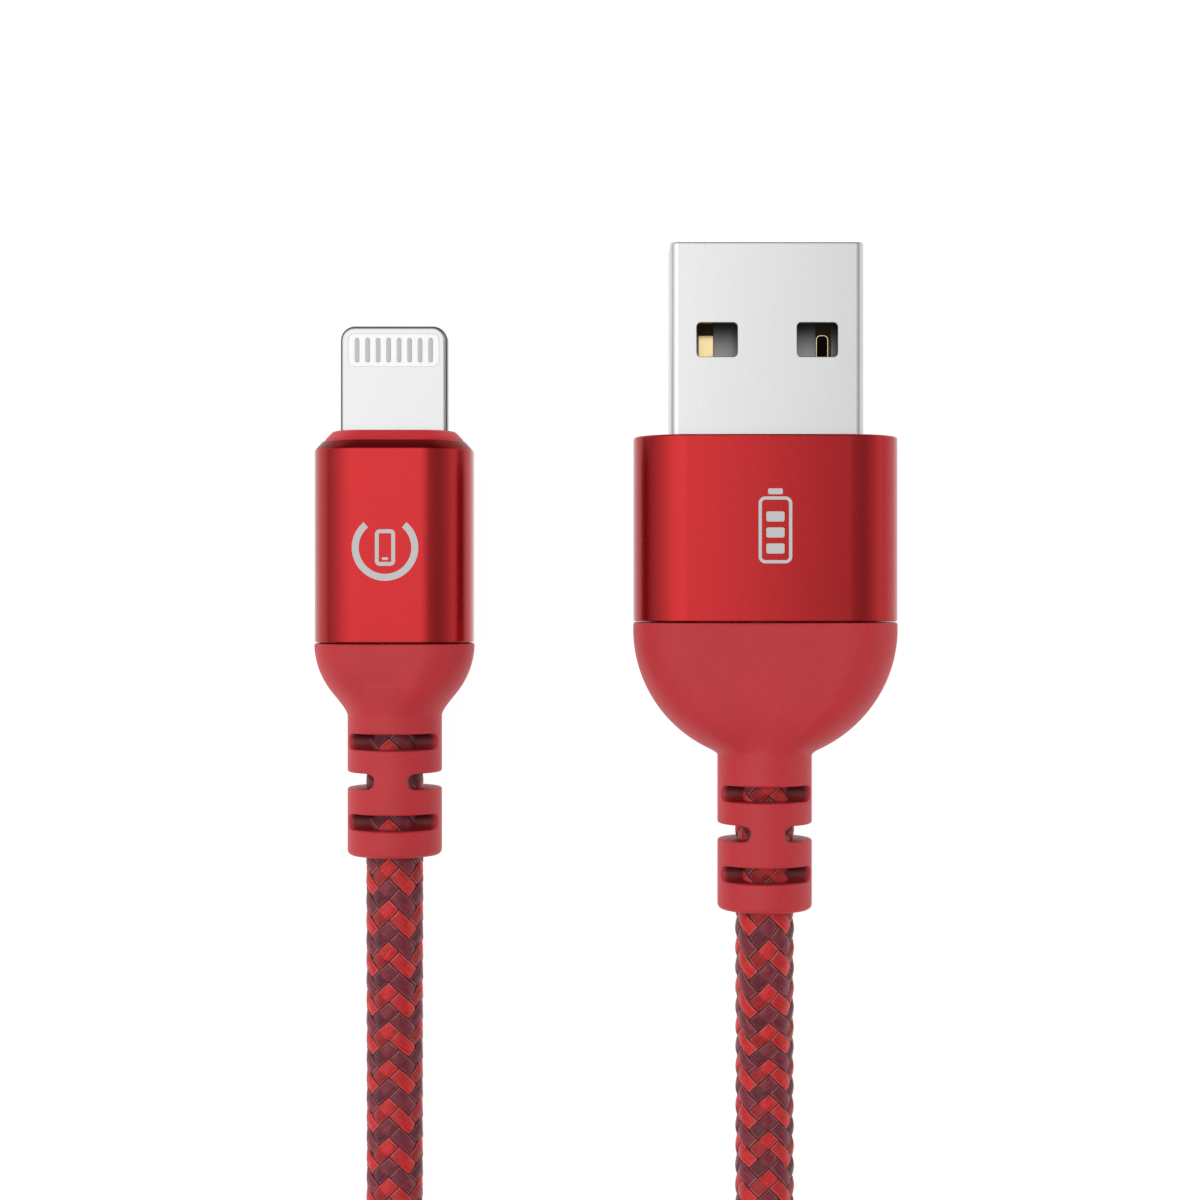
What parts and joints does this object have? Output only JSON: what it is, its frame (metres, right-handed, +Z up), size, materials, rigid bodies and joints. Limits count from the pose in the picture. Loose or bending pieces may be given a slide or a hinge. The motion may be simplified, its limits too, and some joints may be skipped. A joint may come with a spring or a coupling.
{
  "type": "charging cable",
  "caption": "Braided charging cable with a USB-A plug and a flat reversible phone plug, each with a metal sleeve and a flexing slotted boot.",
  "frame": {"origin": "on the surface the cable lies on, under the middle of the box that holds both plugs with their boots", "axes": "+Y the way both plugs point, +Z up from the surface, +X from the phone plug to the USB-A plug"},
  "size_m": [0.0401, 0.1545, 0.0087],
  "materials": {
    "plug_steel": "bright satin stamped steel",
    "insulator_grey": "moulded insulator",
    "insulator_white": "smooth white insulator",
    "contact_gold": "gold plated",
    "pad_metal": "plated pad",
    "inner_mould": "inner overmould",
    "red_anodised": "red anodised, fine satin",
    "red_boot": "soft satin thermoplastic rubber",
    "red_collar": "moulded lip",
    "ferrule_brass": "crimped",
    "wire_red": "wire insulation",
    "wire_white": "wire insulation",
    "wire_green": "wire insulation",
    "wire_black": "wire insulation",
    "board_green": "solder mask",
    "chip_black": "moulded package",
    "can_steel": "shield can",
    "red_braid": "two-tone braided sleeve",
    "tie_strap": "hook and loop strap"
  },
  "bodies": {
    "cable": {"cord_hank": "red_braid", "hank_tie": "tie_strap", "cord_run_usb": "red_braid", "cord_run_phone": "red_braid"},
    "usb_plug": {"usb_metal_shell": "plug_steel", "usb_tongue": "insulator_grey", "usb_contact_1": "contact_gold", "usb_contact_2": "contact_gold", "usb_contact_3": "contact_gold", "usb_contact_4": "contact_gold", "usb_inner_mould": "inner_mould", "usb_sleeve": "red_anodised", "usb_boot": "red_boot", "usb_crimp_ferrule": "ferrule_brass", "usb_wire_1": "wire_red", "usb_wire_2": "wire_white", "usb_wire_3": "wire_green", "usb_wire_4": "wire_black", "usb_cord_entry": "red_braid"},
    "phone_plug": {"phone_tab_frame": "plug_steel", "phone_insulator": "insulator_white", "phone_pad_a1": "pad_metal", "phone_pad_a2": "pad_metal", "phone_pad_a3": "pad_metal", "phone_pad_a4": "pad_metal", "phone_pad_a5": "pad_metal", "phone_pad_a6": "pad_metal", "phone_pad_a7": "pad_metal", "phone_pad_a8": "pad_metal", "phone_pad_b1": "pad_metal", "phone_pad_b2": "pad_metal", "phone_pad_b3": "pad_metal", "phone_pad_b4": "pad_metal", "phone_pad_b5": "pad_metal", "phone_pad_b6": "pad_metal", "phone_pad_b7": "pad_metal", "phone_pad_b8": "pad_metal", "phone_lead_carrier": "insulator_grey", "phone_board": "board_green", "phone_controller": "chip_black", "phone_shield_can": "can_steel", "phone_inner_mould": "inner_mould", "phone_collar": "red_collar", "phone_sleeve": "red_anodised", "phone_boot": "red_boot", "phone_crimp_ferrule": "ferrule_brass", "phone_wire_1": "wire_red", "phone_wire_2": "wire_white", "phone_wire_3": "wire_green", "phone_wire_4": "wire_black", "phone_cord_entry": "red_braid"}
  },
  "joints": [
    {"name": "usb_boot_flex", "type": "hinge", "parent": "cable", "child": "usb_plug", "pos_m": [0.01004, -0.0159, 0.0039], "axis": [0, 0, 1], "range_deg": [-40, 10], "stiffness_Nm_per_rad": 0.01, "deforming": ["usb_boot", "usb_cord_entry"]},
    {"name": "phone_boot_flex", "type": "hinge", "parent": "cable", "child": "phone_plug", "pos_m": [-0.01328, -0.0127, 0.00345], "axis": [0, 0, 1], "range_deg": [-10, 40], "stiffness_Nm_per_rad": 0.01, "deforming": ["phone_boot", "phone_cord_entry"]}
  ]
}
